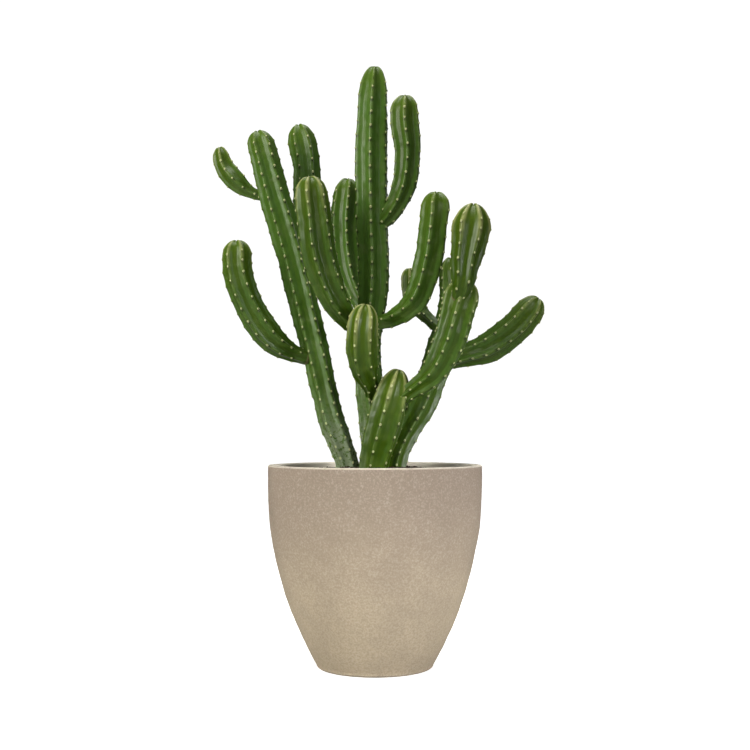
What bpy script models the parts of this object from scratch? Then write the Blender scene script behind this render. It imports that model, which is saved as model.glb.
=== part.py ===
"""A tall branching column cactus in a round tapered planter. Metres, +Z up.

The origin is the centre of the planter's flat base. +X is to the right and -Y is the front.
"""

from math import cos, pi, sin
from typing import NamedTuple

import bmesh
import bpy
import numpy as np

# Planter
POT_HEIGHT = 0.398
RIM_RADIUS = 0.2125
FOOT_RADIUS = 0.112
SHOULDER_HEIGHT = 0.363  # the wall is upright above this and draws in below it
TAPER_POWER = 2.1
WALL = 0.0095
FLOOR = 0.014
RIM_ROUND = 0.003
FOOT_ROUND = 0.007
TURN_STEPS = 48

# Soil
SOIL_TOP = 0.393
SOIL_FALL = 0.019  # how much lower the soil is at the wall than in the middle
SOIL_DOME_POWER = 2.5

# Stems
RIB_DEPTH = 0.17  # of a stem's radius
RING_SPACING = 0.026
DOME_STEPS = 5
DOME_END = 0.955  # how far up the dome the last ring is, as a share of its length

GAP = 0.0003  # between pieces that touch


class Stem(NamedTuple):
    """A stem or an arm: tip is its rounded top's length over its radius, ripeness its skin's age,
    0 young to 1 old, and grows_from names what it is cut clear of. middle holds points up its
    middle: x, y, z and the radius over its ribs there."""

    ribs: int
    tip: float
    ripeness: float
    grows_from: tuple
    middle: list


STEMS = {
    "centre_stem": Stem(ribs=6, tip=2.0, ripeness=0.8, grows_from=(), middle=[
        (0.001, 0.004, 0.335, 0.0260),
        (0.001, 0.000, 0.403, 0.0275),
        (-0.007, 0.000, 0.511, 0.0295),
        (-0.014, 0.000, 0.637, 0.0285),
        (-0.004, 0.000, 0.758, 0.0330),
        (-0.006, 0.000, 0.900, 0.0360),
        (-0.007, 0.000, 1.052, 0.0340),
        (0.000, 0.000, 1.204, 0.0325),
    ]),
    "front_stem": Stem(ribs=6, tip=1.65, ripeness=0.5, grows_from=("centre_stem",), middle=[
        (-0.010, -0.046, 0.342, 0.0275),
        (-0.002, -0.046, 0.405, 0.0305),
        (0.018, -0.052, 0.479, 0.0365),
        (0.033, -0.058, 0.533, 0.0340),
        (0.047, -0.062, 0.587, 0.0320),
    ]),
    "left_stem": Stem(ribs=6, tip=1.2, ripeness=1.0, grows_from=("centre_stem", "front_stem"), middle=[
        (-0.046, 0.010, 0.339, 0.0205),
        (-0.057, 0.015, 0.403, 0.0220),
        (-0.089, 0.024, 0.491, 0.0250),
        (-0.120, 0.032, 0.619, 0.0280),
        (-0.170, 0.040, 0.822, 0.0305),
        (-0.212, 0.040, 0.969, 0.0305),
        (-0.242, 0.040, 1.082, 0.0295),
    ]),
    "right_stem": Stem(ribs=6, tip=1.4, ripeness=0.9, grows_from=("centre_stem", "front_stem"), middle=[
        (0.030, 0.015, 0.343, 0.0230),
        (0.045, 0.025, 0.423, 0.0260),
        (0.094, 0.050, 0.518, 0.0310),
        (0.136, 0.075, 0.628, 0.0315),
        (0.161, 0.095, 0.738, 0.0290),
        (0.159, 0.105, 0.830, 0.0270),
    ]),
    "far_left_arm": Stem(ribs=5, tip=1.5, ripeness=0.3, grows_from=("left_stem",), middle=[
        (-0.220, 0.045, 0.943, 0.0095),
        (-0.251, 0.050, 0.953, 0.0125),
        (-0.284, 0.055, 0.977, 0.0210),
        (-0.310, 0.060, 1.008, 0.0205),
        (-0.323, 0.060, 1.053, 0.0195),
    ]),
    "low_left_arm": Stem(ribs=6, tip=1.2, ripeness=0.5, grows_from=("left_stem",), middle=[
        (-0.136, 0.030, 0.611, 0.0125),
        (-0.164, 0.020, 0.620, 0.0165),
        (-0.200, 0.000, 0.642, 0.0260),
        (-0.245, -0.020, 0.704, 0.0290),
        (-0.272, -0.030, 0.780, 0.0290),
        (-0.275, -0.030, 0.845, 0.0275),
    ]),
    "back_left_arm": Stem(ribs=6, tip=1.6, ripeness=0.5, grows_from=("left_stem",), middle=[
        (-0.191, 0.045, 0.873, 0.0135),
        (-0.171, 0.080, 0.883, 0.0170),
        (-0.150, 0.115, 0.925, 0.0240),
        (-0.146, 0.135, 1.025, 0.0295),
        (-0.164, 0.140, 1.121, 0.0310),
    ]),
    "front_left_arm": Stem(ribs=6, tip=1.15, ripeness=0.4, grows_from=("centre_stem",), middle=[
        (-0.028, -0.005, 0.661, 0.0145),
        (-0.048, -0.035, 0.680, 0.0185),
        (-0.075, -0.060, 0.715, 0.0280),
        (-0.108, -0.085, 0.804, 0.0350),
        (-0.118, -0.095, 0.884, 0.0335),
        (-0.126, -0.100, 0.958, 0.0325),
    ]),
    "back_arm": Stem(ribs=6, tip=1.3, ripeness=0.6, grows_from=("centre_stem",), middle=[
        (-0.012, 0.010, 0.692, 0.0125),
        (-0.027, 0.045, 0.722, 0.0170),
        (-0.052, 0.080, 0.786, 0.0255),
        (-0.065, 0.105, 0.891, 0.0295),
        (-0.057, 0.110, 0.998, 0.0290),
    ]),
    "upper_right_arm": Stem(ribs=6, tip=1.4, ripeness=0.4, grows_from=("centre_stem",), middle=[
        (0.004, 0.000, 0.873, 0.0135),
        (0.029, -0.018, 0.896, 0.0175),
        (0.053, -0.035, 0.939, 0.0255),
        (0.065, -0.045, 1.017, 0.0285),
        (0.059, -0.045, 1.081, 0.0310),
        (0.060, -0.045, 1.132, 0.0295),
    ]),
    "right_arm": Stem(ribs=5, tip=1.3, ripeness=0.4, grows_from=("centre_stem",), middle=[
        (0.004, -0.005, 0.681, 0.0145),
        (0.032, -0.030, 0.685, 0.0185),
        (0.076, -0.060, 0.715, 0.0260),
        (0.105, -0.075, 0.794, 0.0290),
        (0.116, -0.080, 0.871, 0.0300),
        (0.120, -0.080, 0.932, 0.0305),
    ]),
    "front_arm": Stem(ribs=6, tip=1.5, ripeness=0.3, grows_from=("centre_stem", "front_stem"), middle=[
        (-0.006, -0.005, 0.523, 0.0115),
        (-0.008, -0.045, 0.549, 0.0140),
        (-0.021, -0.080, 0.583, 0.0260),
        (-0.025, -0.100, 0.640, 0.0300),
        (-0.018, -0.105, 0.710, 0.0295),
    ]),
    "elbow_arm": Stem(ribs=6, tip=1.0, ripeness=0.6, grows_from=("front_stem",), middle=[
        (0.043, -0.055, 0.522, 0.0150),
        (0.070, -0.075, 0.543, 0.0180),
        (0.108, -0.095, 0.572, 0.0255),
        (0.140, -0.110, 0.632, 0.0340),
        (0.158, -0.115, 0.692, 0.0355),
        (0.176, -0.115, 0.753, 0.0370),
    ]),
    "upper_elbow_arm": Stem(ribs=6, tip=1.6, ripeness=0.3, grows_from=("elbow_arm",), middle=[
        (0.160, -0.128, 0.715, 0.0150),
        (0.166, -0.146, 0.739, 0.0195),
        (0.172, -0.145, 0.787, 0.0285),
        (0.183, -0.136, 0.847, 0.0375),
        (0.188, -0.132, 0.899, 0.0335),
    ]),
    "small_back_arm": Stem(ribs=5, tip=1.3, ripeness=0.3, grows_from=("right_stem",), middle=[
        (0.141, 0.075, 0.671, 0.0105),
        (0.113, 0.100, 0.697, 0.0140),
        (0.080, 0.120, 0.739, 0.0175),
        (0.072, 0.125, 0.810, 0.0175),
    ]),
    "far_right_arm": Stem(ribs=6, tip=1.3, ripeness=0.4, grows_from=("right_stem",), middle=[
        (0.136, 0.075, 0.609, 0.0180),
        (0.177, 0.070, 0.619, 0.0235),
        (0.228, 0.060, 0.635, 0.0300),
        (0.286, 0.045, 0.675, 0.0320),
        (0.336, 0.035, 0.736, 0.0305),
    ]),
}
ROOTED = ("centre_stem", "front_stem", "left_stem", "right_stem")

CLAY_COLOUR = (0.45, 0.37, 0.26)
SOIL_COLOUR = (0.035, 0.024, 0.016)
YOUNG_GREEN = (0.11, 0.20, 0.035)
OLD_GREEN = (0.045, 0.10, 0.025)


def clear_scene():
    for obj in list(bpy.data.objects):
        bpy.data.objects.remove(obj, do_unlink=True)


def new_collection(name):
    collection = bpy.data.collections.new(name)
    bpy.context.scene.collection.children.link(collection)
    return collection


def principled(name, colour, roughness):
    material = bpy.data.materials.new(name)
    material.use_nodes = True
    shader = material.node_tree.nodes["Principled BSDF"]
    shader.inputs["Base Color"].default_value = (*colour, 1)
    shader.inputs["Roughness"].default_value = roughness
    shader.inputs["Metallic"].default_value = 0
    return material


def arc(centre_r, centre_z, radius, start, end, steps=4):
    """Points on an arc in the profile's plane, from one angle to another."""
    angles = [start + (end - start) * i / steps for i in range(steps + 1)]
    return [(centre_r + radius * cos(a), centre_z + radius * sin(a)) for a in angles]


def turned(name, profile, material, collection):
    """A closed solid of revolution from a profile that starts and ends on the Z axis."""
    mesh = bpy.data.meshes.new(name)
    edges = [(i, i + 1) for i in range(len(profile) - 1)]
    mesh.from_pydata([(r, 0, z) for r, z in profile], edges, [])
    obj = bpy.data.objects.new(name, mesh)
    collection.objects.link(obj)
    mesh.materials.append(material)
    screw = obj.modifiers.new("turn", "SCREW")
    screw.axis = "Z"
    screw.angle = 2 * pi
    screw.steps = screw.render_steps = TURN_STEPS
    screw.use_merge_vertices = True
    screw.merge_threshold = 0.0001
    screw.use_smooth_shade = True
    return obj


def wall_radius(height):
    """The planter's outer radius: upright at the shoulder, drawn in to the foot as a power curve."""
    drop = max(0, (SHOULDER_HEIGHT - height) / SHOULDER_HEIGHT)
    return RIM_RADIUS - (RIM_RADIUS - FOOT_RADIUS) * drop**TAPER_POWER


def soil_height(radius):
    """The height of the soil's domed top at a distance from the middle."""
    return SOIL_TOP - SOIL_FALL * (radius / (RIM_RADIUS - WALL)) ** SOIL_DOME_POWER


def levels(top, bottom, count):
    return [top + (bottom - top) * i / (count - 1) for i in range(count)]


def make_pot(collection):
    """One cast shell: floor, inner wall, rounded rim, outer wall and rounded foot."""
    inner = [(wall_radius(z) - WALL, z) for z in levels(FLOOR, POT_HEIGHT - RIM_ROUND, 10)]
    rim = arc(RIM_RADIUS - WALL + RIM_ROUND, POT_HEIGHT - RIM_ROUND, RIM_ROUND, pi, pi / 2)[1:]
    rim += arc(RIM_RADIUS - RIM_ROUND, POT_HEIGHT - RIM_ROUND, RIM_ROUND, pi / 2, 0)
    outer = [(wall_radius(z), z) for z in levels(SHOULDER_HEIGHT, FOOT_ROUND, 11)]
    foot = arc(wall_radius(FOOT_ROUND) - FOOT_ROUND, FOOT_ROUND, FOOT_ROUND, 0, -pi / 2)[1:]
    profile = [(0, FLOOR), *inner, *rim, *outer, *foot, (0, 0)]
    clay = principled("fibre_clay", CLAY_COLOUR, 0.8)
    return turned("pot", profile, clay, collection)


def make_soil(collection):
    """The plug of potting mix that fills the pot, a gap clear of its wall and floor."""
    edge = RIM_RADIUS - WALL - GAP
    top = [(edge * i / 8, soil_height(edge * i / 8)) for i in range(9)]
    side_levels = levels(soil_height(edge), FLOOR + GAP, 10)
    side = [(wall_radius(z) - WALL - 2 * GAP, z) for z in side_levels]
    profile = [*top[:-1], *side, (0, FLOOR + GAP)]
    return turned("soil", profile, principled("potting_mix", SOIL_COLOUR, 0.95), collection)


def rib_section(ribs, collection):
    """A closed star of unit radius over its ribs, the section that every ring of a stem has."""
    curve = bpy.data.curves.new(f"section_of_{ribs}_ribs", "CURVE")
    spline = curve.splines.new("POLY")
    spline.points.add(2 * ribs - 1)
    for i, point in enumerate(spline.points):
        radius = 1 if i % 2 == 0 else 1 - RIB_DEPTH
        angle = pi * i / ribs
        point.co = (radius * cos(angle), radius * sin(angle), 0, 1)
    spline.use_cyclic_u = True
    section = bpy.data.objects.new(curve.name, curve)
    collection.objects.link(section)
    section.hide_render = True
    section.display_type = "WIRE"
    return section


def flowing(rows, at):
    """Rows read from a smooth curve through the given ones, at distances along their chords."""
    rows = np.array(rows)
    chords = np.linalg.norm(np.diff(rows[:, :3], axis=0), axis=1)
    along = np.concatenate([[0], np.cumsum(chords)])
    slopes = np.gradient(rows, along, axis=0)
    i = np.clip(np.searchsorted(along, at, side="right") - 1, 0, len(rows) - 2)
    span = (along[i + 1] - along[i])[:, None]
    t = (at - along[i])[:, None] / span
    return (
        rows[i] * (2 * t**3 - 3 * t**2 + 1)
        + rows[i + 1] * (3 * t**2 - 2 * t**3)
        + slopes[i] * (t**3 - 2 * t**2 + t) * span
        + slopes[i + 1] * (t**3 - t**2) * span
    )


def rings(rows, tip):
    """Middle points and radii of a stem's rings: evenly spaced, then closing over a rounded top."""
    chords = np.linalg.norm(np.diff(np.array(rows)[:, :3], axis=0), axis=1)
    length = chords.sum()
    dome = tip * rows[-1][3]
    shaft = np.linspace(0, length - dome, max(3, round((length - dome) / RING_SPACING)) + 1)
    rise = np.sin(np.linspace(0, np.arcsin(DOME_END), DOME_STEPS + 1))[1:]
    found = flowing(rows, np.concatenate([shaft, length - dome + rise * dome]))
    found[len(shaft):, 3] *= np.sqrt(1 - rise**2)
    return found


def stem_mesh(name, stem, section, growth, collection):
    """A ribbed tube along the stem's middle as a mesh object, every ring larger by growth."""
    curve = bpy.data.curves.new(name + "_route", "CURVE")
    curve.dimensions = "3D"
    curve.bevel_mode = "OBJECT"
    curve.bevel_object = section
    curve.use_fill_caps = True
    found = rings(stem.middle, stem.tip)
    ends = np.array([found[0, :3] - found[1, :3], found[-1, :3] - found[-2, :3]])
    found[[0, -1], :3] += growth * ends / np.linalg.norm(ends, axis=1)[:, None]
    spline = curve.splines.new("POLY")
    spline.points.add(len(found) - 1)
    for point, (x, y, z, radius) in zip(spline.points, found):
        point.co = (x, y, z, 1)
        point.radius = radius + growth / (1 - RIB_DEPTH)
    route = bpy.data.objects.new(name + "_route", curve)
    collection.objects.link(route)
    bpy.context.view_layer.update()
    graph = bpy.context.evaluated_depsgraph_get()
    mesh = bpy.data.meshes.new_from_object(route.evaluated_get(graph))
    mesh.name = name
    shape = bmesh.new()
    shape.from_mesh(mesh)
    bmesh.ops.remove_doubles(shape, verts=shape.verts, dist=0.00001)
    bmesh.ops.recalc_face_normals(shape, faces=shape.faces)
    shape.to_mesh(mesh)
    shape.free()
    obj = bpy.data.objects.new(name, mesh)
    obj.matrix_world = route.matrix_world
    collection.objects.link(obj)
    bpy.data.objects.remove(route)
    return obj


def cut(obj, cutter):
    boolean = obj.modifiers.new("clear_of_" + cutter.name, "BOOLEAN")
    boolean.operation = "DIFFERENCE"
    boolean.solver = "EXACT"
    boolean.object = cutter


def skin(name, ripeness):
    """Green skin, darker on an older stem."""
    colour = [young + (old - young) * ripeness for young, old in zip(YOUNG_GREEN, OLD_GREEN)]
    return principled(name + "_skin", colour, 0.5)


def make_stems(plant, cutters):
    """Every stem and arm, each cut clear of what it grows from. Returns the parents' cutters."""
    parents = {parent for stem in STEMS.values() for parent in stem.grows_from}
    sections = {}
    clearances = {}
    for name, stem in STEMS.items():
        if stem.ribs not in sections:
            sections[stem.ribs] = rib_section(stem.ribs, cutters)
        section = sections[stem.ribs]
        obj = stem_mesh(name, stem, section, 0, plant)
        obj.data.materials.append(skin(name, stem.ripeness))
        for parent in stem.grows_from:
            cut(obj, clearances[parent])
        if name in parents or name in ROOTED:
            cutter = stem_mesh(name + "_clearance", stem, section, GAP, cutters)
            cutter.hide_render = True
            cutter.display_type = "WIRE"
            clearances[name] = cutter
    return clearances


clear_scene()
plant = new_collection("potted_tall_cactus")
cutters = new_collection("cutters")
make_pot(plant)
soil = make_soil(plant)
clearances = make_stems(plant, cutters)
for name in ROOTED:
    cut(soil, clearances[name])
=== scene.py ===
"""A tall branching column cactus in a round tapered planter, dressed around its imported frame.

Metres, +Z up, -Y the front, and the origin at the centre of the planter's flat base.
"""

from math import pi, radians

import bpy
import numpy as np
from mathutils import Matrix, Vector


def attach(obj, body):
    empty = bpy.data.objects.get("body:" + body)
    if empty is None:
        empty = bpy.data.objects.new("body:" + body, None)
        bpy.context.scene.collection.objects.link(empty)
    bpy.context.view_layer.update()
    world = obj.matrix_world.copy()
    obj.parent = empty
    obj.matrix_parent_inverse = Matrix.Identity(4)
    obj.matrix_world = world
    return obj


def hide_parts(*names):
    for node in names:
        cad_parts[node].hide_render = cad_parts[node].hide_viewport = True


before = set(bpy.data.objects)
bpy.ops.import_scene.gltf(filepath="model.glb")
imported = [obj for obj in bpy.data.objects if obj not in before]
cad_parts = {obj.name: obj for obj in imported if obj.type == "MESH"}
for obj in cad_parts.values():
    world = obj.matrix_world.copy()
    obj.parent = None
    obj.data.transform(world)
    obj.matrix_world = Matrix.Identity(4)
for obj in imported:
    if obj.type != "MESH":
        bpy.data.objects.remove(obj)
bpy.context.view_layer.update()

# ---------------------------------------------------------------------------------------------
# The planter: a round tub of fibre clay, cast as one shell in a two-part mould and then rubbed
# down by hand. Its wall stands upright under the rim and draws in below it to a small foot.
# ---------------------------------------------------------------------------------------------

POT_HEIGHT = 0.398
RIM_RADIUS = 0.2125
FOOT_RADIUS = 0.112
SHOULDER_HEIGHT = 0.363
TAPER_POWER = 2.1
WALL = 0.0095
FLOOR = 0.014
RIM_ROUND = 0.0035
FOOT_ROUND = 0.007
POT_COLUMNS = 224
CLAY_UPPER = (0.305, 0.243, 0.196, 1)
CLAY_LOWER_TONE_AND_PAINTED_LIGHT = (0.505, 0.419, 0.303, 1)
CLAY_PALE = (0.610, 0.545, 0.455, 1)
CLAY_DARK = (0.270, 0.218, 0.168, 1)
CLAY_WORN_AND_PAINTED_LIGHT = (0.880, 0.825, 0.715, 1)


def wall_radius(height):
    """The outer radius: upright above the shoulder, below it drawn in to the foot as a power of
    how far down the wall a point is."""
    drop = np.clip((SHOULDER_HEIGHT - height) / SHOULDER_HEIGHT, 0, 1)
    return RIM_RADIUS - (RIM_RADIUS - FOOT_RADIUS) * drop**TAPER_POWER


def add_piece(name, points, faces, material):
    """An object from an array of points and a list of face arrays, three- or four-sided."""
    mesh = bpy.data.meshes.new(name)
    mesh.vertices.add(len(points))
    mesh.vertices.foreach_set("co", np.asarray(points, np.float32).ravel())
    sides = np.concatenate([np.full(len(block), block.shape[1]) for block in faces])
    corners = np.concatenate([block.ravel() for block in faces])
    mesh.loops.add(len(corners))
    mesh.loops.foreach_set("vertex_index", corners.astype(np.int32))
    mesh.polygons.add(len(sides))
    starts = np.concatenate([[0], np.cumsum(sides)[:-1]])
    mesh.polygons.foreach_set("loop_start", starts.astype(np.int32))
    mesh.update(calc_edges=True)
    mesh.shade_smooth()
    mesh.materials.append(material)
    obj = bpy.data.objects.new(name, mesh)
    bpy.context.scene.collection.objects.link(obj)
    return obj


def ring_skin(rings, first, last):
    """Points and faces of a closed skin over rings of points. rings[i, j] is point j of ring i. Two
    neighbouring rings are joined by four-sided faces, and fans close the end rings on the points
    first and last. The faces look outward where the points go anticlockwise, seen from the last."""
    count, around = rings.shape[:2]
    i, j = np.meshgrid(np.arange(count - 1), np.arange(around), indexing="ij")
    here = i * around + j
    beside = i * around + (j + 1) % around
    sides = np.stack([here, beside, beside + around, here + around], axis=-1).reshape(-1, 4)
    step = np.arange(around)
    following = (step + 1) % around
    start = np.full(around, count * around)
    top = (count - 1) * around
    start_fan = np.stack([following, step, start], axis=-1)
    end_fan = np.stack([top + step, top + following, start + 1], axis=-1)
    points = np.concatenate([rings.reshape(-1, 3), [first], [last]])
    return points, [sides, start_fan, end_fan]


def ripple(at, size, seed, waves=28):
    """A smooth random field of about unit height at an array of places: a sum of sine waves that
    run in random directions, with lengths from half to twice the given size."""
    draw = np.random.default_rng(seed)
    ways = draw.normal(size=(waves, 3))
    ways /= np.linalg.norm(ways, axis=1)[:, None]
    lengths = size * 2 ** draw.uniform(-1, 1, waves)
    shifts = draw.uniform(0, 2 * pi, waves)
    field = np.zeros(at.shape[:-1])
    for way, length, shift in zip(ways, lengths, shifts):
        field += np.sin(at @ way * (2 * pi / length) + shift)
    return field / np.sqrt(waves / 2)


def pot_profile():
    """Radius and height along the shell, from under its foot, up the outside, over the rounded rim
    and down the inside to the floor. The roundings are quarter circles."""
    turn = np.linspace(0, 1, 9)[1:-1] * pi / 2
    under = np.linspace(0.004, wall_radius(FOOT_ROUND) - FOOT_ROUND, 14)
    parts = [(under, np.zeros_like(under))]
    corner = wall_radius(FOOT_ROUND) - FOOT_ROUND
    parts.append((corner + FOOT_ROUND * np.sin(turn), FOOT_ROUND * (1 - np.cos(turn))))
    rise = np.linspace(FOOT_ROUND, POT_HEIGHT - RIM_ROUND, 118)
    parts.append((wall_radius(rise), rise))
    parts.append((RIM_RADIUS - RIM_ROUND * (1 - np.cos(turn)),
                  POT_HEIGHT - RIM_ROUND * (1 - np.sin(turn))))
    lip = np.linspace(RIM_RADIUS - RIM_ROUND, RIM_RADIUS - WALL + RIM_ROUND, 4)
    parts.append((lip, np.full_like(lip, POT_HEIGHT)))
    parts.append((RIM_RADIUS - WALL + RIM_ROUND * (1 - np.sin(turn)),
                  POT_HEIGHT - RIM_ROUND * (1 - np.cos(turn))))
    sink = np.linspace(POT_HEIGHT - RIM_ROUND, FLOOR, 60)
    parts.append((wall_radius(sink) - WALL, sink))
    floor = np.linspace(wall_radius(FLOOR) - WALL, 0.004, 12)[1:]
    parts.append((floor, np.full_like(floor, FLOOR)))
    return np.concatenate([np.stack(part, axis=-1) for part in parts])


def pot_rings():
    """The profile turned about the Z axis, its wall out of true by under a millimetre, as a cast
    shell is after it has been rubbed down by hand."""
    profile = pot_profile()
    angle = np.linspace(0, 2 * pi, POT_COLUMNS, endpoint=False)
    radius = profile[:, 0][:, None]
    height = np.broadcast_to(profile[:, 1][:, None], (len(profile), POT_COLUMNS))
    rings = np.stack([radius * np.cos(angle), radius * np.sin(angle), height], axis=-1)
    wave = 0.00045 * ripple(rings, 0.16, seed=11) + 0.00018 * ripple(rings, 0.035, seed=12)
    wave *= np.clip(height / 0.02, 0, 1) * np.clip(radius / 0.05, 0, 1)
    rings[..., 0] += wave * np.cos(angle)
    rings[..., 1] += wave * np.sin(angle)
    return rings


def node(tree, kind, inputs=None, **settings):
    """A new shader node. Each input, by name or number, is a value or another node's output."""
    made = tree.nodes.new("ShaderNode" + kind)
    for key, value in settings.items():
        setattr(made, key, value)
    for key, value in (inputs or {}).items():
        if isinstance(value, bpy.types.NodeSocket):
            tree.links.new(value, made.inputs[key])
        else:
            made.inputs[key].default_value = value
    return made


def maths(tree, operation, first, second=0.5, clamp=False):
    inputs = {0: first, 1: second}
    return node(tree, "Math", inputs, operation=operation, use_clamp=clamp).outputs[0]


def between(tree, value, low, high):
    """0 where the value is at or under low and 1 where it is at or over high, eased between."""
    inputs = {"Value": value, "From Min": low, "From Max": high}
    return node(tree, "MapRange", inputs, interpolation_type="SMOOTHSTEP").outputs[0]


def mixed(tree, share, first, second, blend="MIX"):
    """The first colour, with a share of the second laid over it."""
    inputs = {"Factor": share, 6: first, 7: second}
    return node(tree, "Mix", inputs, data_type="RGBA", blend_type=blend).outputs[2]


def noise(tree, place, scale, detail=3.0, roughness=0.5, distortion=0.0):
    inputs = {"Vector": place, "Scale": scale, "Detail": detail, "Roughness": roughness,
              "Distortion": distortion}
    return node(tree, "TexNoise", inputs).outputs["Fac"]


def finish(name, slot_shader):
    """A material whose tree holds only its Principled shader, set to the given values."""
    material = bpy.data.materials.new(name)
    material.use_nodes = True
    shader = material.node_tree.nodes["Principled BSDF"]
    for key, value in slot_shader.items():
        shader.inputs[key].default_value = value
    return material, material.node_tree, shader


def grain_group():
    """Grains in a matrix: a group that puts pale veins and grains, dark grains and cloudy patches
    on a colour, with their height. The clay and the potting mix both use it."""
    tree = bpy.data.node_groups.new("grains", "ShaderNodeTree")
    for name, kind in (("Vector", "NodeSocketVector"), ("Colour", "NodeSocketColor"),
                       ("Pale", "NodeSocketColor"), ("Dark", "NodeSocketColor"),
                       ("Grain Scale", "NodeSocketFloat"), ("Patch Scale", "NodeSocketFloat"),
                       ("Strength", "NodeSocketFloat")):
        tree.interface.new_socket(name, in_out="INPUT", socket_type=kind)
    for name, kind in (("Colour", "NodeSocketColor"), ("Height", "NodeSocketFloat")):
        tree.interface.new_socket(name, in_out="OUTPUT", socket_type=kind)
    given = tree.nodes.new("NodeGroupInput").outputs
    place = given["Vector"]
    grains = noise(tree, place, given["Grain Scale"], 2, 0.6)
    coarse = maths(tree, "MULTIPLY", given["Grain Scale"], 0.31)
    lumps = noise(tree, place, coarse, 4, 0.65)
    winding = noise(tree, place, maths(tree, "MULTIPLY", given["Grain Scale"], 0.18), 3, 0.6, 1.2)
    winding = maths(tree, "ABSOLUTE", maths(tree, "SUBTRACT", winding, 0.5))
    patches = noise(tree, place, given["Patch Scale"], 4, 0.6, 0.4)
    veins = maths(tree, "MULTIPLY", between(tree, winding, 0.030, 0.0), 0.4)
    pale = maths(tree, "MAXIMUM", between(tree, lumps, 0.48, 0.66), veins)
    dark = between(tree, lumps, 0.54, 0.36)
    cloud = between(tree, patches, 0.34, 0.66)
    share = maths(tree, "MULTIPLY", given["Strength"], pale)
    colour = mixed(tree, share, given["Colour"], given["Pale"])
    share = maths(tree, "MULTIPLY", given["Strength"], dark)
    colour = mixed(tree, share, colour, given["Dark"])
    shade = maths(tree, "MULTIPLY", given["Strength"], 0.62)
    shade = maths(tree, "MULTIPLY", shade, cloud)
    colour = mixed(tree, shade, colour, given["Dark"])
    height = maths(tree, "MULTIPLY", lumps, 0.6)
    height = maths(tree, "ADD", height, maths(tree, "MULTIPLY", grains, 0.4))
    done = tree.nodes.new("NodeGroupOutput")
    tree.links.new(colour, done.inputs["Colour"])
    tree.links.new(height, done.inputs["Height"])
    return tree


GRAINS = grain_group()


def grains(tree, inputs):
    return node(tree, "Group", inputs, node_tree=GRAINS).outputs


def fibre_clay():
    """Pinkish speckled clay, paler and yellower towards the foot: partly its own tone and partly
    painted light on the drawn-in foot. Paler on the rim, partly worn by rubbing and partly a
    painted highlight on the upturned lip, and paler down the inside as painted light that lifts the
    plant's shadow."""
    material, tree, shader = finish("fibre_clay", {"Roughness": 0.85, "Specular IOR Level": 0.25})
    place = node(tree, "TexCoord").outputs["Object"]
    height = node(tree, "SeparateXYZ", {0: place}).outputs["Z"]
    drift = noise(tree, place, 9, 3)
    level = maths(tree, "ADD", height, maths(tree, "MULTIPLY", drift, 0.09))
    # Darker above and paler towards the foot: partly the clay's own tone, partly painted light
    # standing in for light thrown up from the floor onto the drawn-in foot.
    upper = between(tree, level, 0.10, 0.42)
    colour = mixed(tree, upper, CLAY_LOWER_TONE_AND_PAINTED_LIGHT, CLAY_UPPER)
    speckled = grains(tree, {"Vector": place, "Colour": colour, "Pale": CLAY_PALE,
                             "Dark": CLAY_DARK, "Grain Scale": 880, "Patch Scale": 15,
                             "Strength": 0.34})
    # The rim is paler: partly worn by rubbing, partly a painted highlight on the lip that faces up.
    rim = between(tree, height, POT_HEIGHT - 0.004, POT_HEIGHT - 0.001)
    # The top of the inside wall is paler: painted light, lifting the shade that the plant casts
    # there.
    level_place = node(tree, "VectorMath", {0: place, 1: (1, 1, 0)}, operation="MULTIPLY")
    reach = node(tree, "VectorMath", {0: level_place.outputs[0]}, operation="LENGTH")
    inside = between(tree, reach.outputs["Value"], RIM_RADIUS - 0.5 * WALL, RIM_RADIUS - 0.9 * WALL)
    inside = maths(tree, "MULTIPLY", inside, between(tree, height, 0.36, 0.38))
    rubbed = between(tree, noise(tree, place, 120, 3), 0.1, 0.5)
    rubbed = maths(tree, "MULTIPLY", maths(tree, "MULTIPLY", rim, 0.6), rubbed)
    worn_and_painted_light = maths(tree, "MAXIMUM", rubbed, maths(tree, "MULTIPLY", inside, 0.95))
    colour = mixed(tree, worn_and_painted_light, speckled["Colour"], CLAY_WORN_AND_PAINTED_LIGHT)
    tree.links.new(colour, shader.inputs["Base Color"])
    bump = node(tree, "Bump", {"Strength": 0.5, "Distance": 0.0012, "Height": speckled["Height"]})
    tree.links.new(bump.outputs[0], shader.inputs["Normal"])
    return material


def seat(piece, slot, *nodes):
    """Fixes a piece to the one body and hides the nodes that it stands for. The slot is not used.
    """
    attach(piece, "root")
    if nodes:
        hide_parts(*nodes)
    return piece


pot_points, pot_faces = ring_skin(pot_rings(), (0, 0, 0), (0, 0, FLOOR))
pot = add_piece("planter", pot_points, pot_faces, fibre_clay())
seat(pot, "fibre_clay", "pot")

# ---------------------------------------------------------------------------------------------
# The potting mix: a domed plug of gritty compost that fills the planter to just under its rim,
# with bark chips and white perlite lying on it. It is tamped in by hand round the rooted stems.
# ---------------------------------------------------------------------------------------------

SOIL_TOP = 0.393
SOIL_FALL = 0.019
SOIL_DOME_POWER = 2.5
MIX_CLEARANCE = 0.0006
SOIL_EDGE = RIM_RADIUS - WALL - MIX_CLEARANCE
SOIL_COLUMNS = 300
SOIL_TOP_RINGS = 94
BARK_CHIPS = 760
PERLITE_GRAINS = 230
MIX_BROWN = (0.040, 0.027, 0.018, 1)
MIX_DARK = (0.012, 0.008, 0.006, 1)
MIX_PALE = (0.130, 0.095, 0.062, 1)


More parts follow.
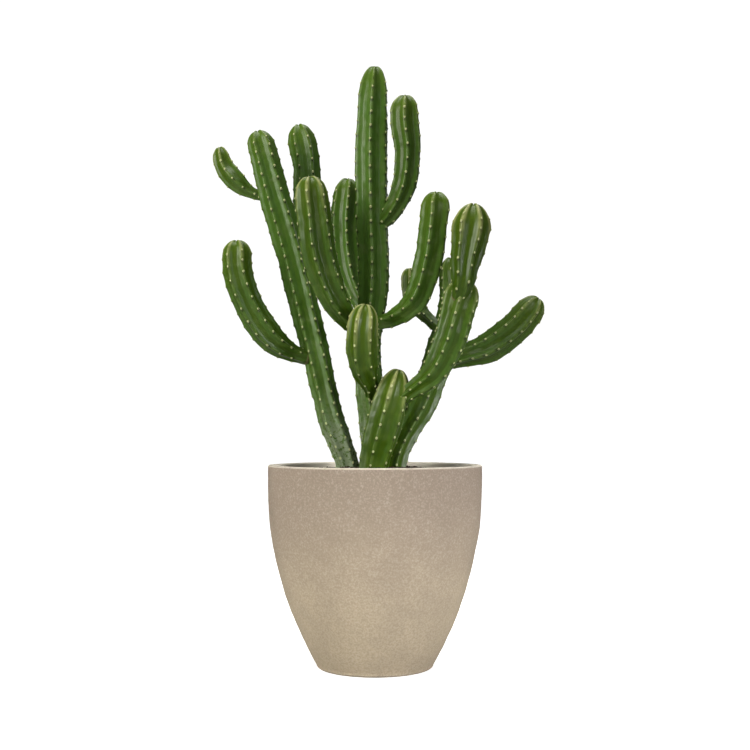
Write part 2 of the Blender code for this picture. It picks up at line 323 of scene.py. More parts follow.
def soil_rings():
    """A dome falling off as a power of the radius, its crumbly surface a sum of ripples, then down
    the planter's inner wall to its floor."""
    reach = np.linspace(0.0025, SOIL_EDGE, SOIL_TOP_RINGS)
    angle = np.linspace(0, 2 * pi, SOIL_COLUMNS, endpoint=False)
    height = SOIL_TOP - SOIL_FALL * (reach / (RIM_RADIUS - WALL)) ** SOIL_DOME_POWER
    side = np.linspace(height[-1] - 0.003, FLOOR + MIX_CLEARANCE, 30)
    radius = np.concatenate([reach, wall_radius(side) - WALL - MIX_CLEARANCE])
    under = np.linspace(radius[-1], 0.01, 6)[1:]
    radius = np.concatenate([radius, under])[:, None]
    height = np.concatenate([height, side, np.full(5, FLOOR + MIX_CLEARANCE)])[:, None]
    height = np.broadcast_to(height, (len(radius), SOIL_COLUMNS))
    rings = np.stack([radius * np.cos(angle), radius * np.sin(angle), height], axis=-1)
    top = rings[:SOIL_TOP_RINGS]
    crumbs = 0.0012 * ripple(top, 0.030, seed=21) + 0.0008 * ripple(top, 0.010, seed=22)
    crumbs += 0.0009 * np.abs(ripple(top, 0.006, seed=23)) - 0.0014
    top[..., 2] += crumbs * np.clip((SOIL_EDGE - radius[:SOIL_TOP_RINGS]) / 0.004, 0, 1)
    return rings[::-1]


def potting_mix(name, brown, dark, pale, scale, strength):
    """A dull crumbly finish in three tones. Scale is of its grains, strength their contrast."""
    material, tree, shader = finish(name, {"Roughness": 0.95, "Specular IOR Level": 0.2})
    place = node(tree, "TexCoord").outputs["Object"]
    mix = grains(tree, {"Vector": place, "Colour": brown, "Pale": pale, "Dark": dark,
                        "Grain Scale": scale, "Patch Scale": 45, "Strength": strength})
    tree.links.new(mix["Colour"], shader.inputs["Base Color"])
    bump = node(tree, "Bump", {"Strength": 0.9, "Distance": 0.002, "Height": mix["Height"]})
    tree.links.new(bump.outputs[0], shader.inputs["Normal"])
    return material


def crumb_cloud(count, sizes, flatness, seed):
    """Points and faces of many small twenty-sided lumps lying on the mix. Each is an icosahedron
    with its corners pushed in or out, flattened, turned about the vertical and tipped a little."""
    draw = np.random.default_rng(seed)
    golden = (1 + 5**0.5) / 2
    corner = np.array([(-1, golden, 0), (1, golden, 0), (-1, -golden, 0), (1, -golden, 0),
                       (0, -1, golden), (0, 1, golden), (0, -1, -golden), (0, 1, -golden),
                       (golden, 0, -1), (golden, 0, 1), (-golden, 0, -1), (-golden, 0, 1)])
    side = np.array([(0, 11, 5), (0, 5, 1), (0, 1, 7), (0, 7, 10), (0, 10, 11), (1, 5, 9),
                     (5, 11, 4), (11, 10, 2), (10, 7, 6), (7, 1, 8), (3, 9, 4), (3, 4, 2),
                     (3, 2, 6), (3, 6, 8), (3, 8, 9), (4, 9, 5), (2, 4, 11), (6, 2, 10),
                     (8, 6, 7), (9, 8, 1)])
    lump = corner / np.linalg.norm(corner[0])
    lumps = lump * draw.uniform(0.75, 1.2, (count, 12, 1))
    lumps *= draw.uniform(sizes[0], sizes[1], (count, 1, 1)) * np.stack(
        [np.ones(count), draw.uniform(0.45, 0.9, count), draw.uniform(*flatness, count)], axis=-1
    )[:, None]
    tip, spin = draw.uniform(-0.5, 0.5, count), draw.uniform(0, 2 * pi, count)
    x, y, z = np.moveaxis(lumps, -1, 0)
    x, z = (x * np.cos(tip)[:, None] - z * np.sin(tip)[:, None],
            x * np.sin(tip)[:, None] + z * np.cos(tip)[:, None])
    x, y = (x * np.cos(spin)[:, None] - y * np.sin(spin)[:, None],
            x * np.sin(spin)[:, None] + y * np.cos(spin)[:, None])
    reach = (SOIL_EDGE - 0.004) * np.sqrt(draw.uniform(0.02, 1, count))
    way = draw.uniform(0, 2 * pi, count)
    level = SOIL_TOP - SOIL_FALL * (reach / (RIM_RADIUS - WALL)) ** SOIL_DOME_POWER - 0.0006
    places = np.stack([reach * np.cos(way), reach * np.sin(way), level], axis=-1)
    points = np.stack([x, y, z], axis=-1) + places[:, None]
    faces = side + 12 * np.arange(count)[:, None, None]
    return points.reshape(-1, 3), [faces.reshape(-1, 3)]


soil_points, soil_faces = ring_skin(soil_rings(), (0, 0, FLOOR + MIX_CLEARANCE), (0, 0, SOIL_TOP))
mix = potting_mix("potting_mix", MIX_BROWN, MIX_DARK, MIX_PALE, 520, 0.75)
soil = add_piece("potting_mix", soil_points, soil_faces, mix)
seat(soil, "potting_mix", "soil")

bark = potting_mix("bark", (0.105, 0.062, 0.034, 1), (0.030, 0.018, 0.011, 1),
                   (0.230, 0.155, 0.095, 1), 700, 0.6)
chips = add_piece("bark_chips", *crumb_cloud(BARK_CHIPS, (0.0022, 0.0062), (0.25, 0.5), 31), bark)
seat(chips, "potting_mix")

perlite = potting_mix("perlite", (0.62, 0.59, 0.53, 1), (0.36, 0.33, 0.28, 1),
                      (0.80, 0.78, 0.74, 1), 900, 0.5)
beads = add_piece("perlite_grains",
                  *crumb_cloud(PERLITE_GRAINS, (0.0012, 0.0026), (0.6, 0.9), 32), perlite)
seat(beads, "potting_mix")

# ---------------------------------------------------------------------------------------------
# The stems: green ribbed columns of living flesh under a waxy skin. Four root in the mix, and the
# arms bud from the areoles of older stems, leave by a pinched neck and turn upward.
# ---------------------------------------------------------------------------------------------

ROW_SPACING = 0.0024
COLUMNS_PER_RIB = 18
DOME_ROWS = 26
RIB_DEPTH = 0.24
RIB_POWER = 1.9
AREOLE_SPACING = 0.026
MIX_LINE = 0.40

# Each has its ribs, the angle of one crest from the front in degrees, the length of its rounded
# tip over its radius, its age from 0 to 1, and points up its middle: x, y, z, radius over ribs.
STEMS = {
    "centre_stem": (6, -4, 2.0, 1.0, [
        (0.001, 0.004, 0.335, 0.0260), (0.001, 0.000, 0.403, 0.0275),
        (-0.007, 0.000, 0.511, 0.0295), (-0.014, 0.000, 0.637, 0.0285),
        (-0.004, 0.000, 0.758, 0.0330), (-0.006, 0.000, 0.900, 0.0360),
        (-0.007, 0.000, 1.052, 0.0340), (0.000, 0.000, 1.204, 0.0325)]),
    "front_stem": (6, -11, 1.65, 0.25, [
        (-0.010, -0.046, 0.342, 0.0275), (-0.002, -0.046, 0.405, 0.0305),
        (0.018, -0.052, 0.479, 0.0365), (0.033, -0.058, 0.533, 0.0340),
        (0.047, -0.062, 0.587, 0.0320)]),
    "left_stem": (6, -25, 1.2, 0.95, [
        (-0.046, 0.010, 0.339, 0.0205), (-0.057, 0.015, 0.403, 0.0220),
        (-0.089, 0.024, 0.491, 0.0250), (-0.120, 0.032, 0.619, 0.0280),
        (-0.170, 0.040, 0.822, 0.0305), (-0.212, 0.040, 0.969, 0.0305),
        (-0.242, 0.040, 1.082, 0.0295)]),
    "right_stem": (6, 10, 1.4, 0.8, [
        (0.030, 0.015, 0.343, 0.0230), (0.045, 0.025, 0.423, 0.0260),
        (0.094, 0.050, 0.518, 0.0310), (0.136, 0.075, 0.628, 0.0315),
        (0.161, 0.095, 0.738, 0.0290), (0.159, 0.105, 0.830, 0.0270)]),
    "far_left_arm": (5, -5, 1.5, 0.5, [
        (-0.220, 0.045, 0.943, 0.0095), (-0.251, 0.050, 0.953, 0.0125),
        (-0.284, 0.055, 0.977, 0.0210), (-0.310, 0.060, 1.008, 0.0205),
        (-0.323, 0.060, 1.053, 0.0195)]),
    "low_left_arm": (6, 28, 1.2, 0.5, [
        (-0.136, 0.030, 0.611, 0.0125), (-0.164, 0.020, 0.620, 0.0165),
        (-0.200, 0.000, 0.642, 0.0260), (-0.245, -0.020, 0.704, 0.0290),
        (-0.272, -0.030, 0.780, 0.0290), (-0.275, -0.030, 0.845, 0.0275)]),
    "back_left_arm": (6, -30, 1.6, 0.9, [
        (-0.191, 0.045, 0.873, 0.0135), (-0.171, 0.080, 0.883, 0.0170),
        (-0.150, 0.115, 0.925, 0.0240), (-0.146, 0.135, 1.025, 0.0295),
        (-0.164, 0.140, 1.121, 0.0310)]),
    "front_left_arm": (6, -14, 1.15, 0.35, [
        (-0.028, -0.005, 0.661, 0.0145), (-0.048, -0.035, 0.680, 0.0185),
        (-0.075, -0.060, 0.715, 0.0280), (-0.108, -0.085, 0.804, 0.0350),
        (-0.118, -0.095, 0.884, 0.0335), (-0.126, -0.100, 0.958, 0.0325)]),
    "back_arm": (6, 12, 1.3, 0.9, [
        (-0.012, 0.010, 0.692, 0.0125), (-0.027, 0.045, 0.722, 0.0170),
        (-0.052, 0.080, 0.786, 0.0255), (-0.065, 0.105, 0.891, 0.0295),
        (-0.057, 0.110, 0.998, 0.0290)]),
    "upper_right_arm": (6, -2, 1.4, 0.6, [
        (0.004, 0.000, 0.873, 0.0135), (0.029, -0.018, 0.896, 0.0175),
        (0.053, -0.035, 0.939, 0.0255), (0.065, -0.045, 1.017, 0.0285),
        (0.059, -0.045, 1.081, 0.0310), (0.060, -0.045, 1.132, 0.0295)]),
    "right_arm": (5, -16, 1.3, 0.75, [
        (0.004, -0.005, 0.681, 0.0145), (0.032, -0.030, 0.685, 0.0185),
        (0.076, -0.060, 0.715, 0.0260), (0.105, -0.075, 0.794, 0.0290),
        (0.116, -0.080, 0.871, 0.0300), (0.120, -0.080, 0.932, 0.0305)]),
    "front_arm": (6, -27, 1.5, 0.12, [
        (-0.006, -0.005, 0.523, 0.0115), (-0.008, -0.045, 0.549, 0.0140),
        (-0.021, -0.080, 0.583, 0.0260), (-0.025, -0.100, 0.640, 0.0300),
        (-0.018, -0.105, 0.710, 0.0295)]),
    "elbow_arm": (6, -9, 1.0, 0.6, [
        (0.043, -0.055, 0.522, 0.0150), (0.070, -0.075, 0.543, 0.0180),
        (0.108, -0.095, 0.572, 0.0255), (0.140, -0.110, 0.632, 0.0340),
        (0.158, -0.115, 0.692, 0.0355), (0.176, -0.115, 0.753, 0.0370)]),
    "upper_elbow_arm": (6, -36, 1.6, 0.12, [
        (0.160, -0.128, 0.715, 0.0150), (0.166, -0.146, 0.739, 0.0195),
        (0.172, -0.145, 0.787, 0.0285), (0.183, -0.136, 0.847, 0.0375),
        (0.188, -0.132, 0.899, 0.0335)]),
    "small_back_arm": (5, 0, 1.3, 0.3, [
        (0.141, 0.075, 0.671, 0.0105), (0.113, 0.100, 0.697, 0.0140),
        (0.080, 0.120, 0.739, 0.0175), (0.072, 0.125, 0.810, 0.0175)]),
    "far_right_arm": (6, -33, 1.3, 0.6, [
        (0.136, 0.075, 0.609, 0.0180), (0.177, 0.070, 0.619, 0.0235),
        (0.228, 0.060, 0.635, 0.0300), (0.286, 0.045, 0.675, 0.0320),
        (0.336, 0.035, 0.736, 0.0305)]),
}
ROOTED = ("centre_stem", "front_stem", "left_stem", "right_stem")


def flowing(rows, at):
    """Rows read from a smooth curve through the given ones, at distances along their chords: a
    cubic between each two, whose slopes are the differences of the rows on either side."""
    rows = np.array(rows)
    chords = np.linalg.norm(np.diff(rows[:, :3], axis=0), axis=1)
    along = np.concatenate([[0], np.cumsum(chords)])
    slopes = np.gradient(rows, along, axis=0)
    before = np.clip(np.searchsorted(along, at, side="right") - 1, 0, len(rows) - 2)
    after = before + 1
    span = (along[after] - along[before])[:, None]
    t = (at - along[before])[:, None] / span
    return (rows[before] * (2 * t**3 - 3 * t**2 + 1) + rows[after] * (3 * t**2 - 2 * t**3)
            + slopes[before] * (t**3 - 2 * t**2 + t) * span
            + slopes[after] * (t**3 - t**2) * span)


class Growth:
    """One stem or arm: its middle line with a frame carried up it, and its ribbed skin as a
    function of the distance along the middle and the angle round it from the front."""

    def __init__(self, name, seed):
        self.ribs, turn, tip, self.age, rows = STEMS[name]
        self.turn = radians(turn)
        self.rooted = name in ROOTED
        draw = np.random.default_rng(seed)
        self.seed = seed
        self.length = np.linalg.norm(np.diff(np.array(rows)[:, :3], axis=0), axis=1).sum()
        self.dome = tip * rows[-1][3]
        self.at = np.linspace(0, self.length, 1200)
        found = flowing(rows, self.at)
        self.middle, self.radius = found[:, :3], found[:, 3]
        up = np.gradient(self.middle, self.at, axis=0)
        self.up = up / np.linalg.norm(up, axis=1)[:, None]
        front = np.array([0, -1, 0]) - self.up * -self.up[:, 1:2]
        self.front = front / np.linalg.norm(front, axis=1)[:, None]
        self.side = np.cross(self.up, self.front)
        young = np.clip(1 - (self.length - self.at) / 0.11, 0, 1)
        spacing = AREOLE_SPACING * draw.uniform(0.94, 1.08) * (1 - 0.5 * young**2)
        self.count = np.concatenate([[0], np.cumsum(np.diff(self.at) / spacing[1:])])
        self.spacing = spacing
        self.offset = (np.arange(self.ribs) % 2) * 0.5 + draw.uniform(-0.16, 0.16, self.ribs)

    def read(self, values, along):
        """Values held up the middle line, read at any distances along it."""
        values = np.asarray(values)
        if values.ndim == 1:
            return np.interp(along, self.at, values)
        return np.stack([np.interp(along, self.at, column) for column in values.T], axis=-1)

    def skin(self, along, around):
        """Points on the skin, with what its look depends on. The section is a rounded star, the
        radius falling from each crest by a power of its cosine, and the ribs fade into the neck.
        Over the top the radius follows an ellipse. A low swelling under each areole rises slowly
        from above it and ends steeply below."""
        phase = self.ribs * (around - self.turn)
        wave = 0.5 + 0.5 * np.cos(phase)
        rib = np.round(phase / (2 * pi)).astype(int) % self.ribs
        rise = np.clip((along - (self.length - self.dome)) / self.dome, 0, 1)
        radius = self.read(self.radius, along)
        leave = np.clip(along / (2.2 * radius), 0, 1)
        depth = RIB_DEPTH * (leave * leave * (3 - 2 * leave) if not self.rooted else 1)
        section = 1 - depth * (1 - wave**RIB_POWER)
        passed = self.read(self.count, along) + self.offset[rib]
        past = (passed + 0.5) % 1 - 0.5
        gap = past * self.read(self.spacing, along)
        swell = np.exp(-(gap / np.where(gap > 0, 0.0088, 0.0036)) ** 2) * wave**5
        swell = swell * (0.0004 + 0.0002 * self.age) * np.sqrt(1 - rise**2)
        # A painted shadow under each areole: a short band just beneath it on the crest, which the
        # finish darkens.
        below = np.exp(-((gap + 0.0042) / 0.0030) ** 2) * wave**6
        radius = radius * section * np.sqrt(1 - rise**2) + swell
        out = np.cos(around)[..., None] * self.read(self.front, along)
        out = out + np.sin(around)[..., None] * self.read(self.side, along)
        points = self.read(self.middle, along) + radius[..., None] * out
        lean = 0.0009 * ripple(points, 0.11, self.seed) + 0.0003 * ripple(points, 0.03, self.seed)
        points = points + (lean * np.sqrt(1 - rise**2))[..., None] * out
        sunk = 0.0034 * (1 - wave) * rise**3 + 0.0016 * np.clip((rise - 0.92) / 0.08, 0, 1) ** 2
        points = points - sunk[..., None] * self.read(self.up, along)
        return points, wave, below, rise

    def rows(self):
        """Distances of the skin's rows: evenly up the shaft, then by equal turns over the top."""
        shaft = self.length - self.dome
        turn = np.linspace(0, pi / 2, DOME_ROWS + 1)[1:-1]
        return np.concatenate([np.linspace(0, shaft, round(shaft / ROW_SPACING)),
                               shaft + self.dome * np.sin(turn)])

    def areoles(self):
        """Distances and angles of the areoles: where each rib's count passes a whole number."""
        along, around = [], []
        for rib in range(self.ribs):
            wanted = np.arange(1, int(self.count[-1] + self.offset[rib]) + 1)
            found = np.interp(wanted - self.offset[rib], self.count, self.at)
            found = found[(found > 0.012) & (found < self.length - 0.45 * self.dome)]
            along.append(found)
            around.append(self.turn + 2 * pi * rib / self.ribs + 0 * found)
        return np.concatenate(along), np.concatenate(around)


def keep_masks(piece, masks):
    """Keeps values on a piece's points, by name, for its finish to read."""
    for name, values in masks.items():
        kept = piece.data.attributes.new(name, "FLOAT", "POINT")
        kept.data.foreach_set("value", values.astype(np.float32))


def grown(growth, name, material):
    """The stem's skin as a piece, with the masks that its finish reads kept on its points. Each
    mask fades as an exponential of the distance from where it is strongest. Just above the mix the
    age is drawn down, so the skin there is darker, less blue and less dusted with bloom: painted
    shade low on the stem."""
    along = growth.rows()[:, None]
    around = np.linspace(0, 2 * pi, growth.ribs * COLUMNS_PER_RIB, endpoint=False)[None]
    along, around = np.broadcast_arrays(along, around)
    rings, wave, below, rise = growth.skin(along, around)
    top = growth.middle[-1] - 0.0040 * growth.up[-1]
    points, faces = ring_skin(rings, growth.middle[0], top)
    piece = add_piece(name, points, faces, material)
    height = rings[..., 2]
    above_mix = np.maximum(height - MIX_LINE, 0)
    near_mix = np.exp(-above_mix / 0.010)
    neck = np.exp(-np.maximum(along - 0.4 * growth.radius[0], 0) / 0.006)
    young = np.clip(1 - (growth.length - along) / (0.13 - 0.05 * growth.age), 0, 1)
    dusty = np.clip(growth.age - 0.85, 0, 0.1) * 10 * np.exp(-np.maximum(height - 0.455, 0) / 0.035)
    # The age drawn down over the mix darkens the foot of each stem: painted shade.
    masks = {"crest": wave, "below": below, "young": young, "bloom": dusty,
             "cork": 0.45 * near_mix if growth.rooted else 0.8 * neck,
             "age": growth.age * (1 - 0.8 * np.exp(-above_mix / 0.16))}
    keep_masks(piece, {mask: np.append(values.ravel(), [values[0].mean(), values[-1].mean()])
                       for mask, values in masks.items()})
    return piece


FLANK_GREEN = (0.037, 0.084, 0.001, 1)
OLD_FLANK = (0.084, 0.187, 0.024, 1)
OLIVE_AND_GROOVE_SHADE = (0.043, 0.088, 0.001, 1)
PALE_RIDGE_AND_HIGHLIGHT = (0.250, 0.338, 0.086, 1)
YOUNG_GREEN = (0.100, 0.166, 0.003, 1)
TIP_CREAM = (0.420, 0.445, 0.165, 1)
WAX_BLOOM = (0.205, 0.262, 0.150, 1)
AREOLE_PAINTED_SHADOW = (0.020, 0.034, 0.001, 1)
CORK = (0.240, 0.200, 0.105, 1)


def skin_group():
    """Waxy skin: green flanks, bluer on old stems, with olive valleys darkened partly as painted
    shade, and pale ridges partly painted as highlights, yellower and creamy over a young tip, a
    painted shadow under each areole, corky at the neck or the soil, and dusted in patches with the
    grey bloom of its wax."""
    tree = bpy.data.node_groups.new("waxy_skin", "ShaderNodeTree")
    for name, kind in (("Vector", "NodeSocketVector"), ("Crest", "NodeSocketFloat"),
                       ("Below", "NodeSocketFloat"), ("Young", "NodeSocketFloat"),
                       ("Cork", "NodeSocketFloat"), ("Bloom", "NodeSocketFloat"),
                       ("Age", "NodeSocketFloat")):
        tree.interface.new_socket(name, in_out="INPUT", socket_type=kind)
    for name, kind in (("Colour", "NodeSocketColor"), ("Roughness", "NodeSocketFloat"),
                       ("Height", "NodeSocketFloat")):
        tree.interface.new_socket(name, in_out="OUTPUT", socket_type=kind)
    given = tree.nodes.new("NodeGroupInput").outputs
    place = given["Vector"]
    clouds = noise(tree, place, 38, 4, 0.55, 0.5)
    freckles = noise(tree, place, 820, 2, 0.6)
    streaks = noise(tree, node(tree, "Mapping", {"Vector": place, "Scale": (1, 1, 0.16)})
                    .outputs[0], 210, 3, 0.6)
    crest, young, age = given["Crest"], given["Young"], given["Age"]
    colour = mixed(tree, age, FLANK_GREEN, OLD_FLANK)
    # Olive in the valleys, strongest on young stems: partly the skin's own olive, partly painted
    # shade in the grooves.
    groove_olive_and_shade = maths(tree, "MULTIPLY", between(tree, crest, 0.55, 0.10), 0.85)
    groove_olive_and_shade = maths(tree, "MULTIPLY", groove_olive_and_shade, between(tree, age, 1.3, 0.3))
    colour = mixed(tree, groove_olive_and_shade, colour, OLIVE_AND_GROOVE_SHADE)
    colour = mixed(tree, maths(tree, "MULTIPLY", young, 0.55), colour, YOUNG_GREEN)
    # Pale ridges: a painted highlight along every crest, stronger over the young tip, where the new
    # crests are also paler.
    ridge_pale_and_highlight = between(tree, crest, 0.74, 0.97)
    paler = maths(tree, "ADD", maths(tree, "MULTIPLY", young, 0.35), 0.12)
    colour = mixed(tree, maths(tree, "MULTIPLY", ridge_pale_and_highlight, paler), colour, PALE_RIDGE_AND_HIGHLIGHT)
    cream = maths(tree, "MULTIPLY", young, between(tree, crest, 0.40, 0.95))
    cream = maths(tree, "MULTIPLY", cream, maths(tree, "SUBTRACT", 1.1, age))
    cream = between(tree, cream, 0.16, 0.95)
    colour = mixed(tree, cream, colour, TIP_CREAM)
    patch = maths(tree, "MULTIPLY", between(tree, clouds, 0.45, 0.72), 0.30)
    colour = mixed(tree, patch, colour, YOUNG_GREEN)
    line = maths(tree, "MULTIPLY", between(tree, streaks, 0.42, 0.70), 0.22)
    colour = mixed(tree, line, colour, OLIVE_AND_GROOVE_SHADE)
    dots = maths(tree, "MULTIPLY", between(tree, freckles, 0.60, 0.74), 0.12)
    dots = maths(tree, "MULTIPLY", dots, maths(tree, "ADD", age, 0.2), clamp=True)
    colour = mixed(tree, dots, colour, TIP_CREAM)
    # Painted shadow under each areole, weaker over the young tip.
    shade = maths(tree, "MULTIPLY", young, -0.8)
    shade = maths(tree, "MULTIPLY", maths(tree, "ADD", shade, 0.95), given["Below"])
    colour = mixed(tree, shade, colour, AREOLE_PAINTED_SHADOW)
    dust = maths(tree, "MULTIPLY", between(tree, clouds, 0.50, 0.80), age)
    dust = maths(tree, "MULTIPLY", dust, 0.4)
    scurf = between(tree, noise(tree, place, 150, 3, 0.6), 0.34, 0.54)
    scurf = maths(tree, "MULTIPLY", scurf, given["Bloom"])
    dust = maths(tree, "MULTIPLY", dust, between(tree, streaks, 0.25, 0.60))
    dust = maths(tree, "ADD", dust, scurf, clamp=True)
    colour = mixed(tree, dust, colour, WAX_BLOOM)
    corky = maths(tree, "ADD", given["Cork"], maths(tree, "MULTIPLY", clouds, 0.55))
    corky = between(tree, corky, 0.78, 1.15)
    colour = mixed(tree, maths(tree, "MULTIPLY", corky, 0.8), colour, CORK)
    rough = maths(tree, "ADD", maths(tree, "MULTIPLY", clouds, 0.16), 0.27)
    rough = maths(tree, "ADD", rough, maths(tree, "MULTIPLY", dust, 0.15))
    rough = maths(tree, "ADD", rough, maths(tree, "MULTIPLY", corky, 0.35), clamp=True)
    height = maths(tree, "ADD", maths(tree, "MULTIPLY", freckles, 0.35), streaks)
    done = tree.nodes.new("NodeGroupOutput")
    tree.links.new(colour, done.inputs["Colour"])
    tree.links.new(rough, done.inputs["Roughness"])
    tree.links.new(height, done.inputs["Height"])
    return tree


WAXY_SKIN = skin_group()


def skin_finish(name):
    """Waxy skin with a soft sheen, its colour and roughness read from the masks on its points."""
    material, tree, shader = finish(name, {"Specular IOR Level": 0.36})
    inputs = {"Vector": node(tree, "TexCoord").outputs["Object"]}
    for mask in ("crest", "below", "young", "cork", "bloom", "age"):
        inputs[mask.title()] = node(tree, "Attribute", attribute_name=mask).outputs["Fac"]
    waxy = node(tree, "Group", inputs, node_tree=WAXY_SKIN).outputs
    tree.links.new(waxy["Colour"], shader.inputs["Base Color"])
    tree.links.new(waxy["Roughness"], shader.inputs["Roughness"])
    bump = node(tree, "Bump", {"Strength": 0.25, "Distance": 0.0006, "Height": waxy["Height"]})
    tree.links.new(bump.outputs[0], shader.inputs["Normal"])
    return material


growths = {name: Growth(name, 100 + place) for place, name in enumerate(STEMS)}
stem_skin, arm_skin = skin_finish("stem_skin"), skin_finish("arm_skin")
for name, growth in growths.items():
    rooted = name in ROOTED
    piece = grown(growth, name + "_skin", stem_skin if rooted else arm_skin)
    seat(piece, "stem_skin" if rooted else "arm_skin", name)

# ---------------------------------------------------------------------------------------------
# The areoles: a cushion of pale felt every inch or so down each rib, with a few short spines.
# The felt is creamy when new and greys with age, and the spines stand out and a little upward.
# ---------------------------------------------------------------------------------------------

FELT_RADIUS = 0.0024
FELT_SIDES = 8
SPINES_EACH = 5
SPINE_LENGTH = 0.0019
SPINE_RADIUS = 0.00022


def felt_and_spines(growth):
    """Points and faces of a stem's areoles, how young each is, and which points are horn. Each is
    a flattened dome of felt and five three-sided spines set out like a star, in the frame of the
    skin's normal and its upward line."""
    along, around = growth.areoles()
    draw = np.random.default_rng(growth.seed + 500)
    step = 0.0004
    point = growth.skin(along, around)[0]
    higher = growth.skin(along + step, around)[0] - growth.skin(along - step, around)[0]
    beside = growth.skin(along, around + 0.01)[0] - growth.skin(along, around - 0.01)[0]
    out = np.cross(beside, higher)
    out /= np.linalg.norm(out, axis=1)[:, None]
    up = higher / np.linalg.norm(higher, axis=1)[:, None]
    side = np.cross(up, out)
    size = draw.uniform(0.85, 1.15, len(along))
    size *= np.clip((growth.length - along) / 0.03, 0.6, 1)
    angle = 2 * pi * np.arange(FELT_SIDES) / FELT_SIDES
    reach = np.array([1.0, 0.72])[:, None]
    lift = np.array([-0.10, 0.24])[:, None] + 0 * angle
    dome = np.stack([reach * np.cos(angle), reach * np.sin(angle) * 1.15, lift], axis=-1)
    dome = np.concatenate([dome.reshape(-1, 3), [(0, 0, -0.3)], [(0, 0, 0.36)]]) * FELT_RADIUS
    lower, ring = np.arange(FELT_SIDES), FELT_SIDES
    after = (lower + 1) % FELT_SIDES
    felt = np.concatenate([
        np.stack([lower, after, after + ring], -1),
        np.stack([lower, after + ring, lower + ring], -1),
        np.stack([after, lower, np.full(ring, 2 * ring)], -1),
        np.stack([lower + ring, after + ring, np.full(ring, 2 * ring + 1)], -1)])
    count = len(along)
    fan = 2 * pi * np.arange(SPINES_EACH) / SPINES_EACH + draw.uniform(0, 2 * pi, (count, 1))
    fan += draw.normal(0, 0.25, fan.shape)
    splay = draw.uniform(0.5, 1.05, fan.shape)
    way = np.stack([np.sin(splay) * np.cos(fan), np.sin(splay) * np.sin(fan) + 0.15,
                    np.cos(splay)], axis=-1)
    across = np.stack([-np.sin(fan), np.cos(fan), 0 * fan], axis=-1)
    other = np.cross(way, across)
    third = 2 * pi * np.arange(3) / 3
    foot = across[:, :, None] * np.cos(third)[:, None] + other[:, :, None] * np.sin(third)[:, None]
    foot = foot * SPINE_RADIUS + way[:, :, None] * FELT_RADIUS * 0.25
    tip = way * (SPINE_LENGTH * draw.uniform(0.7, 1.3, fan.shape))[..., None]
    spines = np.concatenate([foot, tip[:, :, None]], axis=2).reshape(count, -1, 3)
    one = np.array([(0, 1, 3), (1, 2, 3), (2, 0, 3), (0, 2, 1)])
    spine_faces = (one + 4 * np.arange(SPINES_EACH)[:, None, None]).reshape(-1, 3) + len(dome)
    local = np.concatenate([np.broadcast_to(dome, (count, *dome.shape)), spines], axis=1)
    local = local * size[:, None, None]
    points = (point[:, None] + local[..., 0:1] * side[:, None] + local[..., 1:2] * up[:, None]
              + local[..., 2:3] * out[:, None])
    faces = np.concatenate([felt, spine_faces]) + points.shape[1] * np.arange(count)[:, None, None]
    youth = np.clip(1 - (growth.length - along) / 0.25, 0, 1)[:, None] + 0 * points[..., 0]
    horn = np.zeros(points.shape[1])
    horn[len(dome):] = 1
    return points.reshape(-1, 3), [faces.reshape(-1, 3)], youth.ravel(), np.tile(horn, count)


def felt_finish():
    """Creamy felt greying with age, and straw-coloured horn for the spines."""
    material, tree, shader = finish("areole_felt", {"Roughness": 0.9, "Specular IOR Level": 0.15})
    place = node(tree, "TexCoord").outputs["Object"]
    youth = node(tree, "Attribute", attribute_name="young").outputs["Fac"]
    horn = node(tree, "Attribute", attribute_name="horn").outputs["Fac"]
    colour = mixed(tree, youth, (0.50, 0.54, 0.24, 1), (0.66, 0.69, 0.36, 1))
    tufts = noise(tree, place, 1500, 2)
    colour = mixed(tree, between(tree, tufts, 0.35, 0.7), colour, (0.55, 0.60, 0.33, 1))
    colour = mixed(tree, horn, colour, (0.50, 0.40, 0.20, 1))
    tree.links.new(colour, shader.inputs["Base Color"])
    bump = node(tree, "Bump", {"Strength": 0.4, "Distance": 0.0005, "Height": tufts})
    tree.links.new(bump.outputs[0], shader.inputs["Normal"])
    return material


felt = felt_finish()
for name, growth in growths.items():
    points, faces, youth, horn = felt_and_spines(growth)
    piece = add_piece(name + "_areoles", points, faces, felt)
    keep_masks(piece, {"young": youth, "horn": horn})
    seat(piece, "spines")

# ---------------------------------------------------------------------------------------------
# The studio: a wide pale floor that runs out to white. Soft boxes stand at the left and right of
# the front, overhead and behind, and two small gridded ones light the planter's sides from low
# down. The camera stands a little above the planter's rim and looks up slightly.
# ---------------------------------------------------------------------------------------------

CAMERA_DISTANCE = 2.374
CAMERA_HEIGHT = 0.471
CAMERA_TILT = 2.557
CAMERA_LENS = 56.98
FLOOR_REACHES = (0.3, 1.0, 3.0, 14)
FLOOR_SIDES = 96
FLOOR_DROP = 0.0003


def white_floor():
    """Pale matt paint, lifted for the camera so that only the shadow by the foot shows."""
    material, tree, shader = finish("white_floor", {"Roughness": 0.9, "Specular IOR Level": 0.0})
    place = node(tree, "TexCoord").outputs["Object"]
    colour = mixed(tree, noise(tree, place, 3, 3), (0.50, 0.50, 0.50, 1), (0.52, 0.52, 0.52, 1))
    tree.links.new(colour, shader.inputs["Base Color"])
    seen = node(tree, "LightPath").outputs["Is Camera Ray"]
    reach = node(tree, "VectorMath", {0: place}, operation="LENGTH").outputs["Value"]
    away = maths(tree, "ADD", maths(tree, "MULTIPLY", between(tree, reach, 0.2, 0.9), 0.20), 0.90)
    tree.links.new(maths(tree, "MULTIPLY", seen, away), shader.inputs["Emission Strength"])
    shader.inputs["Emission Color"].default_value = (1, 1, 1, 1)
    return material


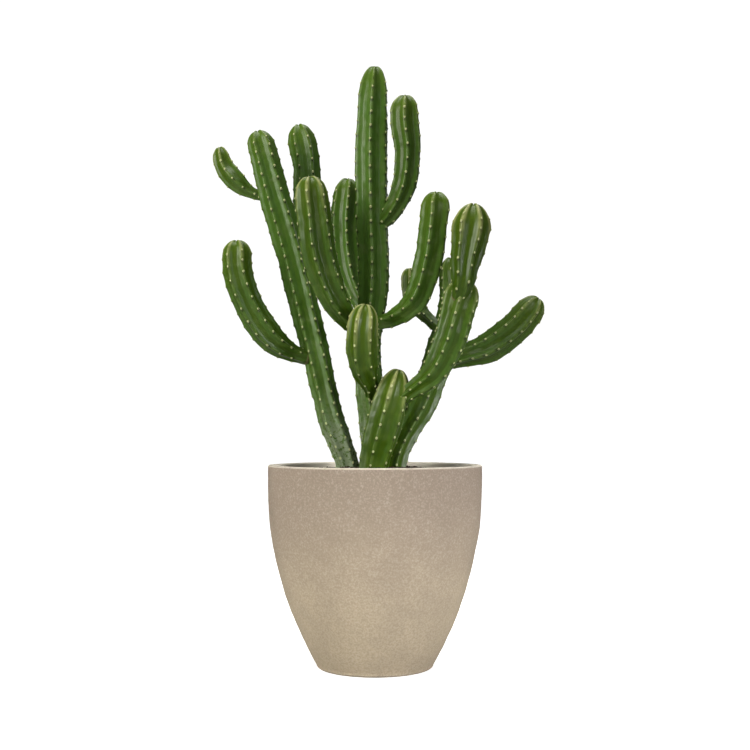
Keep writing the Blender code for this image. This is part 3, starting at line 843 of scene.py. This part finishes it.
def floor_disc():
    """Points and faces of a flat disc that faces up: rings from the outside in, then a fan."""
    angle = np.linspace(0, 2 * pi, FLOOR_SIDES, endpoint=False)
    reach = np.array(FLOOR_REACHES[::-1])[:, None]
    rings = np.stack([reach * np.cos(angle), reach * np.sin(angle), 0 * reach * angle], axis=-1)
    points, (sides, _, middle_fan) = ring_skin(rings, (0, 0, 0), (0, 0, 0))
    return np.delete(points, -2, axis=0), [sides, np.minimum(middle_fan, len(points) - 2)]


floor = add_piece("studio_floor", *floor_disc(), white_floor())
floor.location.z = -FLOOR_DROP


def soft_box(name, place, aim, width, height, power, colour):
    """A rectangular soft box at a place, turned to an aim, with its power in watts."""
    data = bpy.data.lights.new(name, "AREA")
    data.shape = "RECTANGLE"
    data.size, data.size_y = width, height
    data.energy = power
    data.color = colour
    lamp = bpy.data.objects.new(name, data)
    lamp.location = place
    toward = Vector(aim) - Vector(place)
    lamp.rotation_euler = toward.to_track_quat("-Z", "Y").to_euler()
    bpy.context.scene.collection.objects.link(lamp)
    return lamp


soft_box("key_box", (-2.3, -1.9, 1.7), (0, 0, 0.7), 1.4, 1.9, 70, (1.0, 0.975, 0.87))
soft_box("fill_box", (1.6, -2.6, 1.6), (0, 0, 0.55), 0.8, 1.4, 9, (1.0, 0.99, 0.95))
soft_box("top_box", (0, 0.1, 3.4), (0, 0, 0), 2.2, 2.2, 54, (1.0, 0.99, 0.94))
soft_box("back_box", (0.8, 2.9, 1.9), (0, 0, 0.6), 1.6, 1.6, 16, (1, 1, 1))
low_left = soft_box("low_left", (-1.5, -1.9, 0.75), (0, 0, 0.2), 0.6, 0.5, 0.55, (1.0, 0.99, 0.97))
low_right = soft_box("low_right", (1.9, -1.5, 0.75), (0, 0, 0.2), 0.6, 0.5, 1.5, (1.0, 0.99, 0.97))
for gridded in (low_left, low_right):
    gridded.data.spread = radians(28)

world = bpy.data.worlds.new("studio")
world.use_nodes = True
sky = world.node_tree
backdrop = sky.nodes["Background"]
backdrop.inputs["Color"].default_value = (1, 1, 1, 1)
seen = node(sky, "LightPath").outputs["Is Camera Ray"]
level = maths(sky, "ADD", maths(sky, "MULTIPLY", seen, 0.99), 0.08)
sky.links.new(level, backdrop.inputs["Strength"])
scene = bpy.context.scene
scene.world = world
scene.view_settings.view_transform = "Standard"
scene.view_settings.look = "None"

camera_data = bpy.data.cameras.new("camera")
camera_data.sensor_width = 36
camera_data.lens = CAMERA_LENS
camera_data.clip_end = 60
camera = bpy.data.objects.new("camera", camera_data)
camera.location = (0, -CAMERA_DISTANCE, CAMERA_HEIGHT)
camera.rotation_euler = (radians(90 + CAMERA_TILT), 0, 0)
scene.collection.objects.link(camera)
scene.camera = camera
